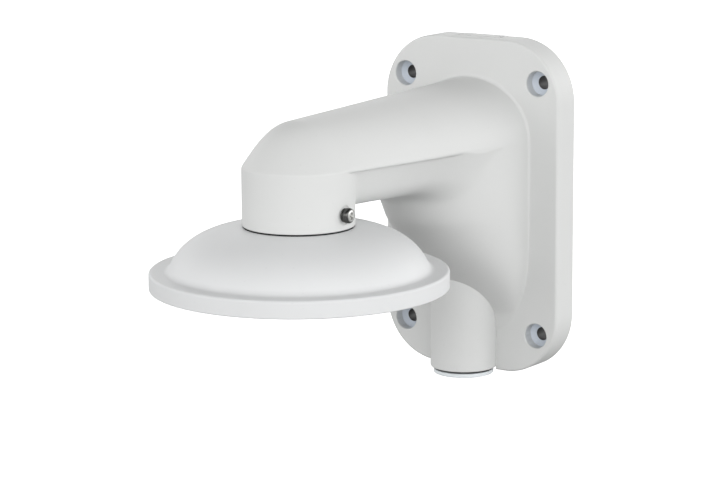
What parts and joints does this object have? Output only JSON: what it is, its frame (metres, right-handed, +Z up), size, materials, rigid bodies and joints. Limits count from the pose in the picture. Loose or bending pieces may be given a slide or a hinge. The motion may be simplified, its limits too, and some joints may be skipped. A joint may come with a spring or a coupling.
{
  "type": "wall bracket with pendant cap for a dome camera",
  "caption": "White cast wall bracket for a mini-dome camera: hollow arm and throat on a rounded wall plate, screwed-in bell-shaped pendant cap, lock screw and plugged conduit entry.",
  "frame": {"origin": "centre of the four wall holes, on the wall plane", "axes": "+Y into the wall, the arm reaches along -Y, +Z up, +X on the lock screw's side"},
  "size_m": [0.11, 0.1817, 0.1343],
  "materials": {
    "casting_powder_coat": "die-cast aluminium with a fine warm-white powder coat",
    "cap_powder_coat": "die-cast aluminium with a smooth cool-white powder coat",
    "black_rubber": "matt black rubber",
    "plug_plastic": "moulded cool-white plastic with a slight sheen",
    "stainless_steel": "bright stainless steel"
  },
  "bodies": {
    "bracket": {"bracket_body": "casting_powder_coat", "wall_gasket": "black_rubber", "top_entry_blank": "casting_powder_coat"},
    "cap_seal": {"neck_seal": "black_rubber"},
    "cap": {"pendant_cap": "cap_powder_coat", "camera_gasket": "black_rubber"},
    "screw_washer": {"lock_washer": "stainless_steel"},
    "screw": {"lock_screw": "stainless_steel"},
    "plug_seal": {"conduit_plug_seal": "black_rubber"},
    "plug": {"conduit_plug": "plug_plastic"}
  },
  "joints": [
    {"name": "cap_drop", "type": "slide", "parent": "bracket", "child": "cap_seal", "axis": [0, 0, -1], "range_m": [0, 0.0093]},
    {"name": "cap_turn", "type": "hinge", "parent": "cap_seal", "child": "cap", "pos_m": [0, -0.12675, 0], "axis": [0, 0, -1], "range_deg": [0, 1440]},
    {"name": "screw_out", "type": "slide", "parent": "bracket", "child": "screw_washer", "axis": [1, 0, 0], "range_m": [0, 0.0025]},
    {"name": "screw_turn", "type": "hinge", "parent": "screw_washer", "child": "screw", "pos_m": [0.0207, -0.12675, 0.0152], "axis": [1, 0, 0], "range_deg": [0, 1850]},
    {"name": "plug_drop", "type": "slide", "parent": "bracket", "child": "plug_seal", "axis": [0, 0, -1], "range_m": [0, 0.0092]},
    {"name": "plug_turn", "type": "hinge", "parent": "plug_seal", "child": "plug", "pos_m": [0, -0.0169, -0.06], "axis": [0, 0, -1], "range_deg": [0, 1800]}
  ],
  "couplings": [
    {"joint": "cap_drop", "follows": "cap_turn", "m_per_rad": 0.00036749},
    {"joint": "screw_turn", "follows": "screw_out", "rad_per_m": 12566},
    {"joint": "plug_drop", "follows": "plug_turn", "m_per_rad": 0.00028871}
  ]
}
